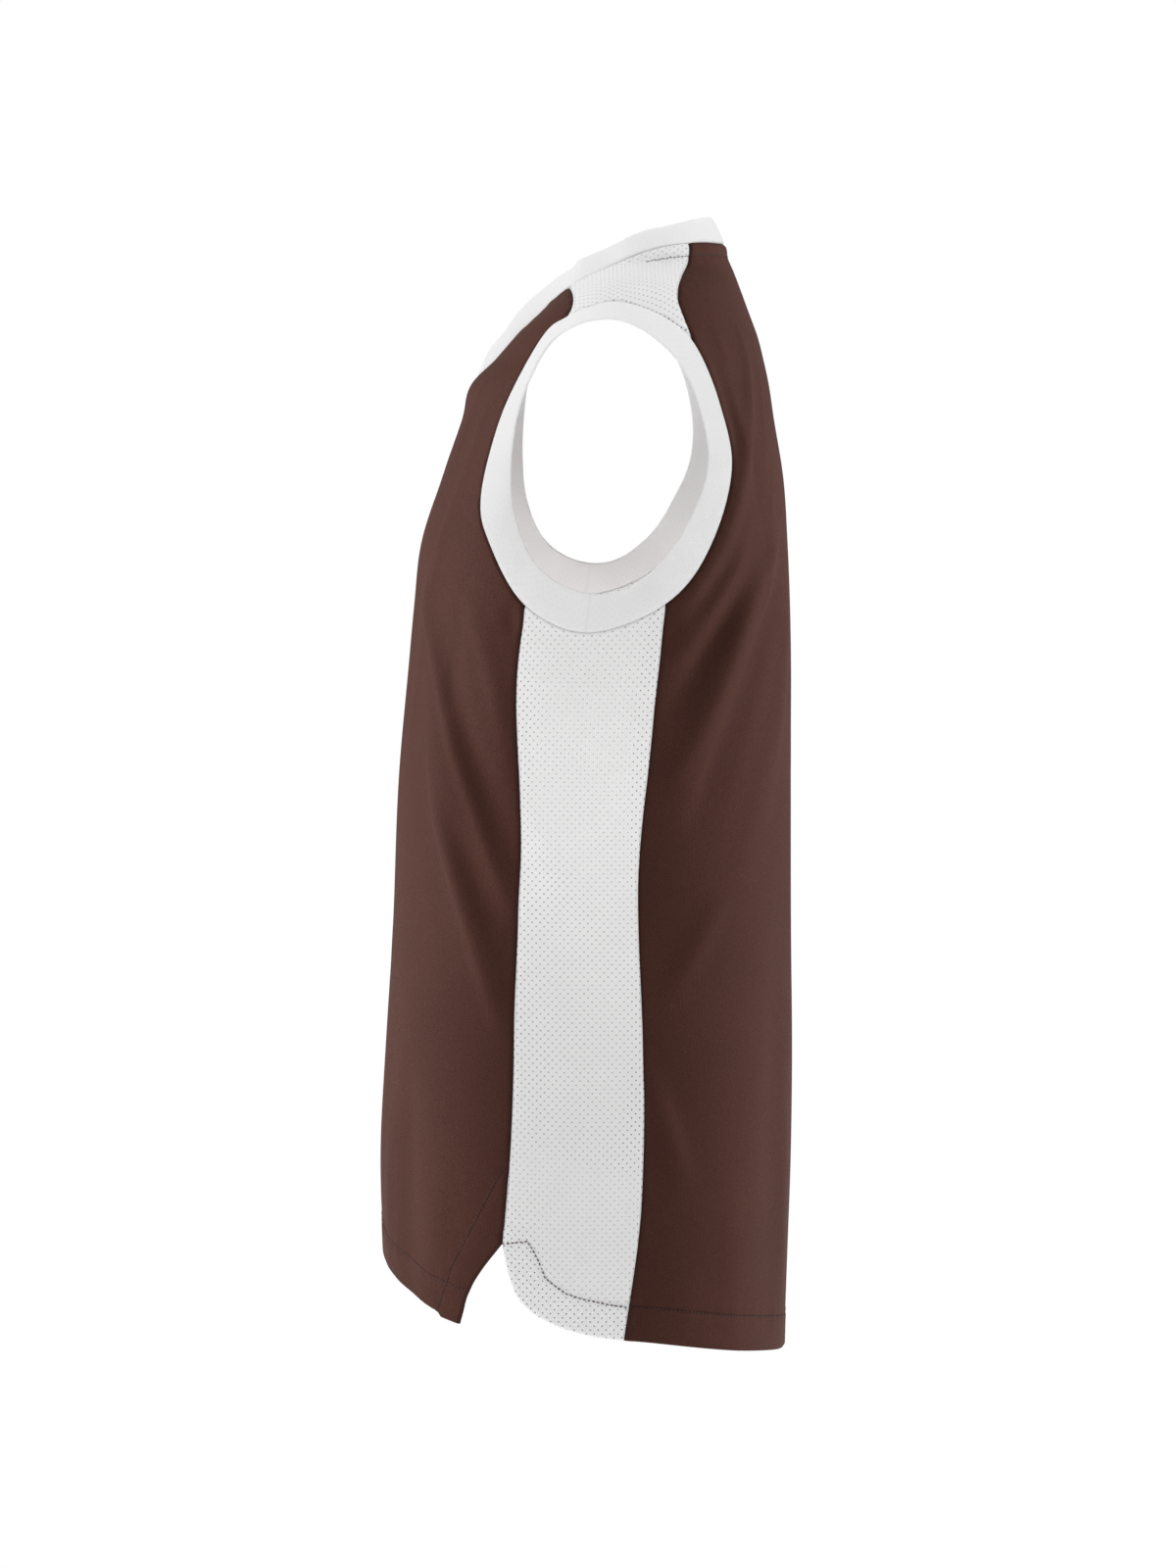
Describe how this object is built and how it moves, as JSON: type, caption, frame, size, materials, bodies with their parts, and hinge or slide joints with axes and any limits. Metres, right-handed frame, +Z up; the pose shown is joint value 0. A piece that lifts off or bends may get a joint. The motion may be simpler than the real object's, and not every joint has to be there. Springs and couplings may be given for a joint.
{
  "type": "basketball jersey",
  "caption": "Sleeveless basketball jersey in its worn, hollow form: V neck, banded armholes, contrast mesh shoulder yokes and side panels, side vents and a longer curved back hem.",
  "frame": {"origin": "midway between the two shoulder straps, at the height where they rest on the wearer's shoulders", "axes": "+Z up, -Y the way the front faces, +X the wearer's left"},
  "size_m": [0.354, 0.2579, 0.708],
  "materials": {
    "brown_knit": "matt fine knit",
    "white_mesh": "matt pinhole mesh",
    "white_band": "matt double-layer mesh"
  },
  "bodies": {
    "root": {"front_panel": "brown_knit", "back_panel": "brown_knit", "side_panel_left": "white_mesh", "side_panel_right": "white_mesh", "shoulder_yoke_left": "white_mesh", "shoulder_yoke_right": "white_mesh", "armhole_band_left": "white_band", "armhole_band_right": "white_band", "neckband": "white_band"}
  },
  "joints": []
}
